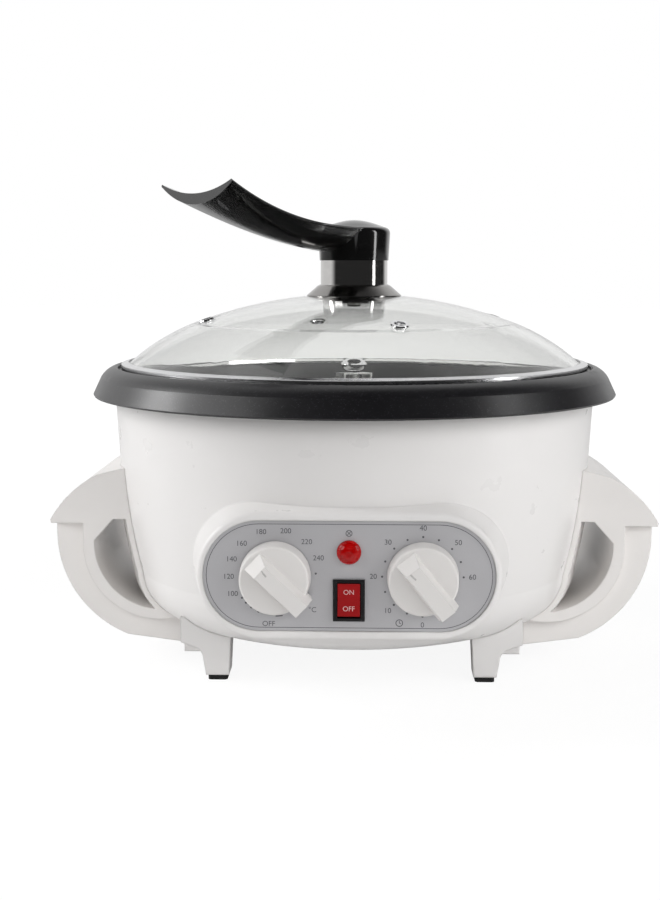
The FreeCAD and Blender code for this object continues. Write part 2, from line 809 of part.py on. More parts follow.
def right_leg_frame():
    """Two legs joined by a bar under the edge of the bowl. The handle's lower end stands against the bar."""
    bar_half = leg_y - leg_half_y + 1.0
    bar_in = cover_r + 1.5
    bar = pushed((bar_in, frame_bar_low_z), (frame_outer_x, frame_bar_low_z), (frame_outer_x, frame_top_z),
                 (bar_in, frame_top_z), half=bar_half)
    frame = fused([leg_block(-1), leg_block(1), bar])
    frame = cut(frame, bowl(0.0, housing_lip_z), rod(cover_r + 0.5, housing_base_z - cover_t - 0.4, housing_base_z))
    frame = cut(frame, pod(0.0))
    plugs = [rod(pad_plug_r, 0.0, leg_bottom_z + pad_plug_long, leg_x, s * leg_y) for s in (-1, 1)]
    holes = [screw_hole(x, y, 0.0, 60.0) for x, y in leg_screw_places]
    return cut(frame, *plugs, *holes)


def left_leg_frame():
    return mirrored(right_leg_frame())


def foot_pad(x_sign, y_sign):
    """A rubber pad with a plug that is pushed up into the leg."""
    half = leg_foot_half - pad_inset
    half_y = leg_half_y - pad_inset
    pad = block((leg_x - half, y_sign * leg_y - half_y, 0.0), (leg_x + half, y_sign * leg_y + half_y, pad_high))
    upright = [edge for edge in pad.Edges if edge.BoundBox.ZLength > pad_high - 0.1]
    pad = pad.makeFillet(2.0, upright)
    plug = rod(pad_plug_r - screw_fit, 0.0, pad_high + pad_plug_long - 0.5, leg_x, y_sign * leg_y)
    whole = fused([pad, plug])
    return whole if x_sign > 0 else mirrored(whole)


def cover_screws():
    return Part.makeCompound([screw(x, y, housing_base_z - cover_t, 1) for x, y in boss_places])


def leg_screws():
    return Part.makeCompound([screw(x, y, frame_bar_low_z, 1, 20.0) for x, y in leg_screw_places])


def handle_screws():
    return Part.makeCompound([screw(x, y, handle_screw_z, 1, 14.5) for x, y in handle_screw_places])


def shield_screws():
    return Part.makeCompound([screw(x, y, shield_top_z, -1) for x, y in boss_places])


def motor_screws():
    top = motor_strap_z()
    fixed = [screw(x, 0.0, top, -1) for x in (-gear_screw_x, gear_screw_x)]
    hung = [screw(x, 0.0, shield_top_z, -1, 6.0) for x in (-strap_foot_x(), strap_foot_x())]
    return Part.makeCompound(fixed + hung)


def dome_sphere_r():
    """The radius of the ball that the crown of the dome is part of."""
    return (dome_cap_r ** 2 + dome_cap_drop ** 2) / (2.0 * dome_cap_drop)


def dome_z(r, drop=0.0):
    """How high the crown is at a radius. Drop gives the same for the glass's inner side."""
    ball = dome_sphere_r()
    return dome_top_z - ball + math.sqrt((ball - drop) ** 2 - r ** 2)


def lid_glass():
    edge_top = dome_shoulder_z - (glass_edge_r - dome_shoulder_r) * glass_bevel
    cap = (dome_cap_r, dome_z(dome_cap_r))
    halfway = (dome_cap_r * 0.5, dome_z(dome_cap_r * 0.5))
    inner_cap = (dome_cap_r - 0.4 * glass_t, dome_z(dome_cap_r - 0.4 * glass_t, glass_t))
    inner_halfway = (dome_cap_r * 0.5, dome_z(dome_cap_r * 0.5, glass_t))
    inner_turn = (dome_turn_r - 0.6 * glass_t, dome_turn_z - 0.8 * glass_t)
    glass = turned((0.0, dome_top_z), (halfway, cap), ((dome_turn_r, dome_turn_z), (dome_shoulder_r, dome_shoulder_z)),
                   (glass_edge_r, edge_top), (glass_edge_r, glass_edge_z), (dome_shoulder_r - 1.6, glass_edge_z),
                   (inner_turn, inner_cap), (inner_halfway, (0.0, dome_top_z - glass_t)))
    glass = glass.cut(rod(lid_hole_r, 0.0, 300.0))
    holes = [vent_tool(number, vent_hole_r, 12.0) for number in range(vent_count)]
    return cut(glass, *holes)


def vent_axis(number):
    """Where a vent sits on the dome, and the dome's outward normal there."""
    angle = math.radians(vent_first_deg + 360.0 * number / vent_count)
    place = v(vent_circle_r * math.cos(angle), vent_circle_r * math.sin(angle), dome_z(vent_circle_r))
    return place, place.sub(v(0, 0, dome_top_z - dome_sphere_r())).normalize()


def vent_tool(number, r, half_long):
    place, normal = vent_axis(number)
    start = place.sub(v(normal.x * half_long, normal.y * half_long, normal.z * half_long))
    return Part.makeCylinder(r, 2 * half_long, start, normal)


def lid_vents():
    """Steel eyelets that line the holes in the glass."""
    eyelets = []
    for number in range(vent_count):
        place, normal = vent_axis(number)
        tube_r_out = vent_hole_r - soft_gap / 2.0
        low = place.sub(v(normal.x, normal.y, normal.z).multiply(glass_t + 0.2))
        tube = Part.makeCylinder(tube_r_out, glass_t + 0.2 + vent_lip, low, normal)
        lip_at = place.add(v(normal.x, normal.y, normal.z).multiply(0.1))
        lip = Part.makeCone(vent_rim_r, vent_rim_r - 0.5, vent_lip, lip_at, normal)
        bore_at = place.sub(v(normal.x, normal.y, normal.z).multiply(glass_t + 2.0))
        bore = Part.makeCylinder(tube_r_out - 0.9, glass_t * 3.0, bore_at, normal)
        bar = Part.makeBox(2 * tube_r_out - 1.0, 1.0, 0.8, v(0.5 - tube_r_out, -0.5, -0.4))
        turn = FreeCAD.Rotation(v(0, 0, 1), normal)
        bars = []
        for spoke in (0.0, 120.0, 240.0):
            piece = bar.common(block((0.0, -1.0, -1.0), (10.0, 1.0, 1.0)))
            piece.rotate(v(0, 0, 0), v(0, 0, 1), spoke)
            piece.Placement = FreeCAD.Placement(place, turn).multiply(piece.Placement)
            bars.append(piece)
        eyelets.append(fused([cut(fused([tube, lip]), bore)] + bars))
    return Part.makeCompound(eyelets)


def lid_band():
    """A rolled steel band round the edge of the glass."""
    out = glass_edge_r + screw_fit
    low = glass_edge_z - screw_fit
    high = dome_shoulder_z - (glass_edge_r - dome_shoulder_r) * glass_bevel + screw_fit
    inner_r = glass_edge_r - band_reach
    lip = high + band_reach * glass_bevel + screw_fit
    return turned((inner_r, low - band_t), (out + band_t, low - band_t), (out + band_t, high + band_t * 0.6),
                  (out + band_t * 0.4, high + band_t), (inner_r, lip + band_t), (inner_r, lip),
                  (out, high), (out, low), (inner_r, low))


def lid_flange():
    hub = lid_screw_r + screw_fit
    return turned((hub, dome_z(hub)), ((flange_r / 2.0, dome_z(flange_r / 2.0)), (flange_r, dome_z(flange_r))),
                  (flange_r, flange_edge_z + 0.6), (flange_neck_r + 1.4, flange_top_z - 0.8),
                  (flange_neck_r, flange_top_z), (hub, flange_top_z))


def lid_collar():
    return turned((lid_screw_r + screw_fit, flange_top_z), (collar_r, flange_top_z), (collar_r, collar_top_z),
                  (lid_screw_r + screw_fit, collar_top_z))


def arm_station(share):
    """The arm's reach, half width, edge height, and depth of its belly, at a share of its length."""
    reach = arm_root_reach + (arm_reach - arm_root_reach) * share
    flare = max(0.0, share - 0.25) / 0.75
    waist = arm_root_half + (arm_waist_half - arm_root_half) * min(1.0, share / 0.25)
    half = waist + (arm_end_half - arm_waist_half) * flare ** 1.6
    rise = arm_root_z + (arm_end_z - arm_root_z) * share - arm_sag * 4.0 * share * (1.0 - share)
    deep = arm_root_deep + (arm_end_deep - arm_root_deep) * share + 6.0 * share * (1.0 - share)
    return reach, half, rise, deep


def arm_section(share):
    """A crescent across the arm: a dished top, two lips and a keeled belly."""
    reach, half, edge_z, deep = arm_station(share)
    dish = 0.6 + arm_dish * share

    def at(across, z):
        return v(reach, across, z)

    face = profile(at, (-half, edge_z), ((0.0, edge_z - dish), (half, edge_z)), (half, edge_z - arm_lip),
                   ((0.0, edge_z - deep), (-half, edge_z - arm_lip)))
    return face.OuterWire


def lid_handle():
    """The knob's head and its lever arm. The arm points along +X before it is turned to its place."""
    head = turned((0.0, collar_top_z), (head_low_r, collar_top_z), (head_high_r, head_side_z - 4.0),
                  ((head_high_r - 0.6, head_side_z + 0.8), (head_high_r - 4.0, head_side_z + 2.2)),
                  ((head_high_r * 0.45, head_top_z - 0.7), (crown_flat, head_top_z)), (0.0, head_top_z))
    wires = [arm_section(number / (arm_sections - 1.0)) for number in range(arm_sections)]
    arm = Part.makeLoft(wires, True, False)
    whole = fused([head, spun(arm, arm_yaw_deg)])
    return whole.cut(rod(lid_screw_r + screw_fit, 0.0, collar_top_z + 12.0))


def lid_screw():
    low = dome_top_z - glass_t - 1.4
    head = Part.makeCylinder(4.2, 2.4, v(0, 0, low - 2.4), v(0, 0, 1))
    head = head.makeFillet(1.0, [edge for edge in head.Edges if edge.BoundBox.ZMax < low - 2.3])
    return fused([head, rod(lid_screw_r, low - 0.1, collar_top_z + 11.0)])


def lid_washer():
    """A soft washer between the screw's head and the glass, with a neck that fills the hole."""
    top = dome_top_z - glass_t
    return turned((lid_screw_r + screw_fit, top - 1.4), (9.0, top - 1.4), (9.0, top - 0.5),
                  (lid_hole_r - 0.1, top - 0.1), (lid_hole_r - 0.1, dome_top_z - 0.1), (lid_screw_r + screw_fit, dome_top_z - 0.1))


def drive_shaft():
    return fused([rod(shaft_r, shaft_low_z, bracket_low()), rod(shaft_r - 0.8, bracket_low() - 1.0, shaft_top_z())])


def bracket_low():
    return bracket_top_z - bracket_t


def shaft_top_z():
    return bracket_top_z + stirrer_neck_high + stirrer_knob_high - 1.5


def sweep_r():
    return pan_floor_r - sweep_clear


def arm_low_z():
    return pan_floor_z + arm_clear_z


def stirrer_bracket():
    """A strip bent into an upside-down U whose feet run out over the pan's floor as two arms."""
    half = bracket_span / 2.0
    inner = half - bracket_t
    low = arm_low_z()
    reach = sweep_r()
    strip = pushed((half, bracket_top_z), (-half, bracket_top_z), (-half, low + bracket_t), (-reach, low + bracket_t),
                   (-reach, low), (-inner, low), (-inner, bracket_low()), (inner, bracket_low()), (inner, low),
                   (reach, low), (reach, low + bracket_t), (half, low + bracket_t), half=bracket_width / 2.0)
    strip = strip.cut(rod(shaft_r - 0.8 + screw_fit, bracket_low() - 1.0, bracket_top_z + 1.0))
    strip = cut(strip, *[rod(rivet_r, low - 1.0, low + bracket_t + 1.0, x, 0.0) for x in rivet_places()])
    return spun(strip, stirrer_yaw_deg)


def rivet_places():
    inner = blade_in_r + 8.0
    outer = sweep_r() - 10.0
    return (-outer, -inner, inner, outer)


def stirrer_blades():
    """Two ploughs: a flat tab riveted on the arm, and a pitched blade that rises from its edge."""
    low = arm_low_z() + bracket_t
    half = bracket_width / 2.0
    end = sweep_r() - 1.0
    pitch = math.radians(blade_pitch_deg)
    lean = blade_high * math.sin(pitch)
    rise = blade_high * math.cos(pitch)

    def at(y, z):
        return v(blade_in_r, y, z)

    face = profile(at, (-half, low), (half, low), (half, low + blade_t), (-half + blade_t, low + blade_t),
                   (-half + blade_t - lean, low + rise), (-half - lean, low + rise))
    blade = face.extrude(v(end - blade_in_r, 0, 0))
    blade = cut(blade, *[rod(rivet_r, low - 1.0, low + blade_t + 1.0, x, 0.0) for x in rivet_places() if x > 0])
    top = low + rise
    bend = blade_corner_r * (1.0 - math.sqrt(0.5))
    rounded = pushed((blade_in_r, low), (end, low), (end, top - blade_corner_r),
                     ((end - bend, top - bend), (end - blade_corner_r, top)), (blade_in_r + blade_corner_r, top),
                     ((blade_in_r + bend, top - bend), (blade_in_r, top - blade_corner_r)), half=knob_spacing)
    blade = blade.common(rounded)
    return Part.makeCompound([spun(blade, stirrer_yaw_deg), spun(blade, stirrer_yaw_deg + 180.0)])


def blade_rivets():
    low = arm_low_z()
    high = low + bracket_t + blade_t
    rivets = []
    for x in rivet_places():
        shank = rod(rivet_r, low - 0.6, high, x, 0.0)
        head = Part.makeCone(rivet_r + 1.2, rivet_r + 0.4, 1.0, v(x, 0, high), v(0, 0, 1))
        tail = Part.makeCylinder(rivet_r + 0.8, 0.6, v(x, 0, low - 0.6), v(0, 0, 1))
        rivets.append(spun(fused([shank, head, tail]), stirrer_yaw_deg))
    return Part.makeCompound(rivets)


def stirrer_knob():
    """A rounded nut that holds the bracket down on the shaft."""
    low = bracket_top_z
    neck_top = low + stirrer_neck_high
    mid = neck_top + stirrer_knob_high / 2.0
    top = neck_top + stirrer_knob_high
    edge = stirrer_knob_r
    knob_solid = turned((0.0, low), (stirrer_neck_r, low), (stirrer_neck_r, neck_top),
                        ((edge * 0.82, mid - 2.0), (edge, mid)),
                        ((edge * 0.78, mid + 2.2), (crown_flat, top)), (0.0, top))
    return knob_solid.cut(rod(shaft_r - 0.8 + screw_fit, 0.0, shaft_top_z() + screw_fit))


def foot_pads():
    pads = {}
    for x_name, x_sign in (("left", -1), ("right", 1)):
        for y_name, y_sign in (("front", -1), ("rear", 1)):
            pads["foot_pad_%s_%s" % (y_name, x_name)] = foot_pad(x_sign, y_sign)
    return pads


def pieces():
    """Every node's name with its solid."""
    return {
        "housing_shell": housing_shell(),
        "bottom_cover": bottom_cover(),
        "cover_screws": cover_screws(),
        "left_handle": left_handle(),
        "right_handle": right_handle(),
        "handle_screws": handle_screws(),
        "left_leg_frame": left_leg_frame(),
        "right_leg_frame": right_leg_frame(),
        "leg_screws": leg_screws(),
        **foot_pads(),
        "roasting_pan": roasting_pan(),
        "shaft_bush": shaft_bush(),
        "heat_shield": heat_shield(),
        "shield_screws": shield_screws(),
        "heating_element": heating_element(),
        "element_clips": element_clips(),
        "control_plate": control_plate(),
        "thermostat_body": thermostat_body(),
        "thermostat_shaft": control_shaft(-knob_half, thermostat_deep),
        "timer_body": timer_body(),
        "timer_shaft": control_shaft(knob_half, timer_deep),
        "control_nuts": control_nuts(),
        "temperature_knob": temperature_knob(),
        "timer_knob": timer_knob(),
        "rocker_frame": rocker_frame(),
        "rocker_button": rocker_button(),
        "lamp_lens": lamp_lens(),
        "lamp_body": lamp_body(),
        "motor_bracket": motor_bracket(),
        "gearbox": gearbox(),
        "motor_can": motor_can(),
        "motor_screws": motor_screws(),
        "terminal_block": terminal_block(),
        "cord_gland": cord_gland(),
        "lid_glass": lid_glass(),
        "lid_band": lid_band(),
        "lid_vents": lid_vents(),
        "lid_flange": lid_flange(),
        "lid_collar": lid_collar(),
        "lid_handle": lid_handle(),
        "lid_screw": lid_screw(),
        "lid_washer": lid_washer(),
        "drive_shaft": drive_shaft(),
        "stirrer_bracket": stirrer_bracket(),
        "stirrer_blades": stirrer_blades(),
        "blade_rivets": blade_rivets(),
        "stirrer_knob": stirrer_knob(),
    }


def write_parts():
    os.makedirs("parts", exist_ok=True)
    for name, shape in pieces().items():
        placed = shape.copy()
        placed.translate(v(0, row_shift_y, 0))
        placed.exportStep(os.path.join("parts", name + ".step"))
        print(name, len(placed.Solids), "solids", placed.isValid(), round(placed.Volume / 1000.0, 2), "cm3")


write_parts()
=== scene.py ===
"""The looks of a home coffee bean roaster: finishes, the print on its panel, the light and the camera."""
import math

import bmesh
import bpy
from mathutils import Matrix, Vector


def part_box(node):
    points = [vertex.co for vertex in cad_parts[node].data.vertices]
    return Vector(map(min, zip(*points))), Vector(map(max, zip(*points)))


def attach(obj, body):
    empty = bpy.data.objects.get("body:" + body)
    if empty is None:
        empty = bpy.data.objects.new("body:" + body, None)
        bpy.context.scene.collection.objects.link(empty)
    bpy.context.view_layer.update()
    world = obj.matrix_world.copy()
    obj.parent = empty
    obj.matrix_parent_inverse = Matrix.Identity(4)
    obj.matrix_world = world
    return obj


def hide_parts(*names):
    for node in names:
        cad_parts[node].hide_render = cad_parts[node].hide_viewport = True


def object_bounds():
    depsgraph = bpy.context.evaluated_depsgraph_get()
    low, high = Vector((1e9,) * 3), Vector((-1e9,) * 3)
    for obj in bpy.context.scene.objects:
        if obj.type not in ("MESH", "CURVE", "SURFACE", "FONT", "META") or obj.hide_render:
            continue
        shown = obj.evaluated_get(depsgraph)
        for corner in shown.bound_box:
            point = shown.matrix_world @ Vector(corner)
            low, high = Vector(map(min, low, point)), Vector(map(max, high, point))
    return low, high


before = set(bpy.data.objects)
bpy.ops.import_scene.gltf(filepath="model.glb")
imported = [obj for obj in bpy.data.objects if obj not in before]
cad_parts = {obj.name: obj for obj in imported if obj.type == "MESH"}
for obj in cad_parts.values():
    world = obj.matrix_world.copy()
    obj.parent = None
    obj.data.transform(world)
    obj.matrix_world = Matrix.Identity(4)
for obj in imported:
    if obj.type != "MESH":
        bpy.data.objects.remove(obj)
cad_low, cad_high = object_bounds()

MM = 0.001
EVEN = (1.0, 1.0, 1.0)
FULL_WHITE = (1.0, 1.0, 1.0, 1.0)

# Camera, fitted to the photograph
CAMERA_FROM_AXIS = Vector((0.0121, -0.8, 0.230))
CAMERA_YAW_DEG = 1.89
CAMERA_DOWN_DEG = 7.96
CAMERA_LENS = 53.45
CAMERA_SENSOR = 36.0

# Lever knob: the turned head
HEAD_LOW_R = 20.4 * MM
HEAD_R = 21.3 * MM
HEAD_HIGH = 19.4 * MM
HEAD_CROWN = 4.2 * MM
HEAD_ROUND = 3.6 * MM
HEAD_ROUND_DEG = 80.0
HEAD_STEPS = 8

# Lever knob: the dished arm, which narrows to a waist and then flares to its end
ARM_YAW_DEG = 219.0
ARM_ROOT_REACH = 9.0 * MM
ARM_REACH = 109.0 * MM
ARM_ROOT_HALF = 19.0 * MM
ARM_WAIST_HALF = 16.5 * MM
ARM_END_HALF = 35.5 * MM
ARM_WAIST_SHARE = 0.25
ARM_FLARE = 1.6
ARM_ROOT_DROP = 0.5 * MM
ARM_SAG = 5.0 * MM
ARM_LIP = 1.6 * MM
ARM_ROOT_DEEP = 15.0 * MM
ARM_END_DEEP = 12.0 * MM
ARM_ROOT_DISH = 0.6 * MM
ARM_END_DISH = 6.1 * MM
ARM_STEPS = 48
ARC_STEPS = 24
LIP_STEPS = 8
ARM_TURN = Matrix.Rotation(math.radians(ARM_YAW_DEG), 3, "Z")

# Lever knob: the screw pocket in the belly of the arm
POCKET_REACH = 40.0 * MM
POCKET_R = 3.4 * MM
POCKET_DEEP = 3.0 * MM
POCKET_BELOW = 5.0 * MM
POCKET_STEPS = 32

# Room: its brightness as a share of white, and where that changes on the way to the backdrop
ROOM_DARK = 0.03
ROOM_WHITE = 0.85
BACKDROP_WAY = (-0.45, 0.9, 0.0)
ROOM_DARK_TO = 0.0
ROOM_WHITE_FROM = 0.42

# Floor, in metres: painted shade towards the camera for the glossy pieces to mirror, with a shadow round the
# object that fades with distance
FLOOR_HALF = 6.0
FLOOR_CELLS = 8
FLOOR_PAINTED_SHADE = 0.03
FLOOR_PALE = 0.86
FLOOR_PAINTED_SHADE_Y = -0.75
FLOOR_PALE_Y = -0.3
FLOOR_GLOW = 1.05
SHADOW_WHITE = 0.86
SHADOW_NEAR = 0.25
SHADOW_FAR = 0.9

# Print: the ink's thickness, its letters, and the line round the panel
INK_T = 0.06 * MM
INK_GAP = 0.02 * MM
CAPITAL_SHARE = 0.72
NUMBER_HIGH = 2.7 * MM
DOT_R = 0.55 * MM
DOT_STEPS = 16
STROKE_HALF = 0.16 * MM
OUTLINE_INSET = 1.5 * MM
OUTLINE_WIDE = 0.3 * MM

# Print round the temperature dial, at degrees clockwise from straight up
TEMPERATURE_MARKS = ((100, 246.6), (120, 268.7), (140, 290.9), (160, 314.3), (180, 342.4), (200, 13.1),
                     (220, 42.1), (240, 66.9))
TEMPERATURE_DOTS = (86.2, 205.0, 217.0, 227.0, 236.0)
LABEL_R = 23.6 * MM
TICK_R = 20.4 * MM
UNIT_R = 25.5 * MM
UNIT_DEG = 133.0
OFF_R = 25.0 * MM
OFF_DEG = 188.0
BRACKET_OUT_R = 21.0 * MM
BRACKET_DEGREES = range(170, 182, 2)

# Print round the timer dial, with a small clock for its sign
TIMER_MINUTES = range(0, 70, 10)
TIMER_FROM_DEG = 180.0
TIMER_STEP_DEG = 45.0
TIMER_LABEL_R = 24.8 * MM
CLOCK_AT_R = 26.5 * MM
CLOCK_AT_DEG = 206.0
CLOCK_IN_R = 1.5 * MM
CLOCK_OUT_R = 1.9 * MM
CLOCK_HANDS = ((0.0, 1.2 * MM), (110.0, 0.9 * MM))

# Sign over the lamp
LAMP_SIGN_UP = 9.6 * MM
LAMP_SIGN_IN_R = 1.35 * MM
LAMP_SIGN_OUT_R = 1.7 * MM
LAMP_CROSS_REACH = 1.4 * MM
LAMP_CROSS_DEGREES = (45.0, 135.0)

# Words on the rocker, and the painted shade of the pointer grooves on the knobs
WORD_HIGH = 2.5 * MM
WORD_UP_SHARE = 0.24
MARK_R = 7.5 * MM
MARK_LONG = 3.8 * MM
MARK_WIDE = 0.9 * MM
BAR_TURNS = range(-88, 90, 2)
BAR_SPREAD = (-6, -3, 0, 3, 6)
SLOPE_STEP = 0.5 * MM
RAY_AHEAD = 100.0 * MM

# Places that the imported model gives
plate_low, plate_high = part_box("control_plate")
glass_low, glass_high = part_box("lid_glass")
axis = Vector(((glass_low.x + glass_high.x) / 2, (glass_low.y + glass_high.y) / 2, 0.0))
ink_back = plate_low.y - INK_GAP
ink_front = ink_back - INK_T


def middle(node):
    low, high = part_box(node)
    return (low + high) / 2


def between(first, second, share):
    return first + (second - first) * share


def surface_y(node, x, z):
    """The first y at which a ray from the front meets a node."""
    start = Vector((x, cad_low.y - RAY_AHEAD, z))
    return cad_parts[node].ray_cast(start, Vector((0, 1, 0)))[1].y


def surface_slope(node, x, z):
    """How far a front surface leans back from upright, in radians."""
    rise = surface_y(node, x, z + SLOPE_STEP) - surface_y(node, x, z - SLOPE_STEP)
    return -math.atan2(rise, 2 * SLOPE_STEP)


def set_sockets(node, values):
    """Gives sockets of a node their values. Their names have underscores for spaces."""
    for name, value in values.items():
        node.inputs[name.replace("_", " ")].default_value = value


class Tree:
    """A node tree, with short ways to add the nodes that the finishes and the light share."""

    def __init__(self, tree, place):
        self.tree = tree
        self.place = self.node("TexCoord").outputs[place]

    def node(self, kind, **values):
        made = self.tree.nodes.new("ShaderNode" + kind)
        set_sockets(made, values)
        return made

    def link(self, source, node, socket):
        self.tree.links.new(source, node.inputs[socket])

    def spread(self, source, low, high, from_low=0.3, from_high=0.7, curve="LINEAR"):
        """Stretches a pattern's range over another range."""
        made = self.node("MapRange", From_Min=from_low, From_Max=from_high, To_Min=low, To_Max=high)
        made.interpolation_type = curve
        self.link(source, made, "Value")
        return made.outputs["Result"]

    def maths(self, operation, first, second):
        made = self.node("Math")
        made.operation = operation
        self.link(first, made, 0)
        self.link(second, made, 1)
        return made.outputs[0]

    def seen(self):
        """1 for a ray that the camera sends, straight or through glass, and 0 for any other."""
        path = self.node("LightPath")
        return self.maths("MAXIMUM", path.outputs["Is Camera Ray"], path.outputs["Is Transmission Ray"])


class Paint(Tree):
    """A new material with its shader, and short ways to vary its looks over the surface."""

    # Sockets of a Mix node that mixes colours
    MIX_INPUTS = (6, 7)
    MIX_RESULT = 2
    EDGE_SAMPLES = 6

    def __init__(self, name):
        self.made = bpy.data.materials.new(name)
        self.made.use_nodes = True
        super().__init__(self.made.node_tree, "Object")
        self.shader = self.tree.nodes["Principled BSDF"]

    def put(self, **values):
        set_sockets(self.shader, values)
        return self

    def noise(self, scale, detail=3.0, stretch=EVEN, roughness=0.5):
        """A cloudy pattern, which is finer along an axis with a larger stretch."""
        mapping = self.node("Mapping", Scale=stretch)
        self.link(self.place, mapping, "Vector")
        made = self.node("TexNoise", Scale=scale, Detail=detail, Roughness=roughness)
        self.link(mapping.outputs["Vector"], made, "Vector")
        return made.outputs["Fac"]

    def cells(self, scale):
        """A pattern of small cells, each with a value of its own."""
        made = self.node("TexVoronoi", Scale=scale)
        self.link(self.place, made, "Vector")
        return made.outputs["Color"]

    def mix(self, share, first, second):
        """A colour between two colours, or between a colour and an earlier mix."""
        made = self.node("Mix")
        made.data_type = "RGBA"
        self.link(share, made, "Factor")
        for socket, colour in zip(self.MIX_INPUTS, (first, second)):
            if isinstance(colour, tuple):
                made.inputs[socket].default_value = colour + (1.0,)
            else:
                self.link(colour, made, socket)
        return made.outputs[self.MIX_RESULT]

    def tint(self, pattern, first, second):
        """Varies the colour between two colours."""
        self.link(self.mix(self.spread(pattern, 0.0, 1.0), first, second), self.shader, "Base Color")

    def dull(self, pattern, low, high):
        """Varies the roughness between two values."""
        self.link(self.spread(pattern, low, high), self.shader, "Roughness")

    def bump(self, pattern, strength, depth, soften=0.0):
        """A fine relief. The soften radius also rounds the shading of the edges that it runs over."""
        made = self.node("Bump", Strength=strength, Distance=depth)
        self.link(pattern, made, "Height")
        if soften:
            edge = self.node("Bevel", Radius=soften)
            edge.samples = self.EDGE_SAMPLES
            self.link(edge.outputs["Normal"], made, "Normal")
        self.link(made.outputs["Normal"], self.shader, "Normal")


def shade(colour, factor):
    """A colour made lighter or darker."""
    return tuple(min(1.0, channel * factor) for channel in colour)


def moulded(name, colour, roughness, coat=0.0, grain=900.0, grain_depth=0.02 * MM, mottling=0.012, shine=0.5,
            soften=0.0):
    """Moulded plastic: a faint mottling, a slightly uneven gloss and a fine skin."""
    paint = Paint(name).put(Specular_IOR_Level=shine, Coat_Weight=coat, Coat_Roughness=0.08)
    paint.tint(paint.noise(18.0), shade(colour, 1 - mottling), shade(colour, 1 + mottling))
    paint.dull(paint.noise(55.0, detail=5.0), roughness - 0.03, roughness + 0.03)
    paint.bump(paint.noise(grain, detail=2.0), strength=0.25, depth=grain_depth, soften=soften)
    return paint.made


def brushed(name, colour, roughness, stretch=(1.0, 1.0, 40.0), scale=60.0):
    """Metal with fine brush marks, or with an even grain where nothing is stretched."""
    paint = Paint(name).put(Metallic=1.0)
    marks = paint.noise(scale, detail=6.0, stretch=stretch, roughness=0.65)
    paint.tint(marks, shade(colour, 0.88), shade(colour, 1.06))
    paint.dull(marks, roughness - 0.06, roughness + 0.10)
    paint.bump(marks, strength=0.18, depth=0.02 * MM)
    return paint.made


def polished(name, colour, roughness=0.08):
    """Bright metal with faint wipe marks."""
    paint = Paint(name).put(Metallic=1.0)
    wipe = paint.noise(90.0, detail=6.0, stretch=(1.0, 1.0, 3.0))
    paint.tint(wipe, shade(colour, 0.95), shade(colour, 1.03))
    paint.dull(wipe, roughness - 0.03, roughness + 0.05)
    return paint.made


def nonstick(name, dark=(0.0065, 0.0062, 0.0075), glint_colour=(0.055, 0.053, 0.062)):
    """Dark coating on cast metal, with a fine sparkle painted into its colour as light flecks, and an uneven
    gloss.
    """
    paint = Paint(name).put(Coat_Weight=0.12, Coat_Roughness=0.3, Specular_IOR_Level=0.5)
    # Painted glints: a few tiny cells take a lighter colour to stand for the coating's sparkle.
    bright = paint.spread(paint.cells(2600.0), 0.0, 1.0, from_low=0.80, from_high=0.97)
    cloud = paint.noise(26.0, detail=4.0)
    base = paint.mix(paint.spread(cloud, 0.0, 1.0), shade(dark, 0.85), shade(dark, 1.25))
    paint.link(paint.mix(bright, base, glint_colour), paint.shader, "Base Color")
    paint.dull(cloud, 0.33, 0.40)
    paint.bump(paint.noise(900.0), strength=0.2, depth=0.012 * MM)
    return paint.made


def panel_silver(name, dark=(0.50, 0.495, 0.51), pale=(0.55, 0.545, 0.56), flake=(0.60, 0.595, 0.62)):
    """Silver paint with very fine metal flakes."""
    paint = Paint(name).put(Metallic=0.35)
    cloud = paint.noise(9.0)
    base = paint.mix(paint.spread(cloud, 0.0, 1.0), dark, pale)
    bright = paint.spread(paint.cells(3800.0), 0.0, 0.30, from_low=0.0, from_high=1.0)
    paint.link(paint.mix(bright, base, flake), paint.shader, "Base Color")
    paint.dull(cloud, 0.34, 0.40)
    paint.bump(paint.noise(1500.0, detail=2.0), strength=0.15, depth=0.01 * MM)
    return paint.made


def clear_glass(name):
    """Clear glass with faint smears."""
    paint = Paint(name).put(IOR=1.45, Transmission_Weight=1.0, Roughness=0.0)
    smear = paint.noise(12.0, detail=4.0)
    paint.tint(smear, (0.915, 0.920, 0.908), (0.935, 0.940, 0.928))
    paint.dull(smear, 0.0, 0.012)
    return paint.made


def red_lens(name):
    """Dark red plastic with a little depth in its colour."""
    paint = Paint(name).put(IOR=1.49, Specular_IOR_Level=0.3, Coat_Weight=0.15, Coat_Roughness=0.03)
    cloud = paint.noise(240.0, detail=2.0)
    paint.tint(cloud, (0.34, 0.001, 0.001), (0.50, 0.001, 0.001))
    paint.dull(cloud, 0.12, 0.2)
    return paint.made


def rubber(name, colour):
    """Matt rubber with a little dust."""
    paint = Paint(name).put(Specular_IOR_Level=0.3)
    dust = paint.noise(140.0, detail=5.0)
    paint.tint(dust, shade(colour, 0.8), shade(colour, 1.5))
    paint.dull(dust, 0.6, 0.8)
    paint.bump(paint.noise(800.0), strength=0.3, depth=0.03 * MM)
    return paint.made


def ink(name, colour):
    """Screen-printed ink, a little uneven where it is thin. The painted shade in the knobs' pointer grooves
    uses it too.
    """
    paint = Paint(name).put(Roughness=0.5)
    paint.tint(paint.noise(1400.0, detail=2.0), colour, shade(colour, 1.35))
    return paint.made


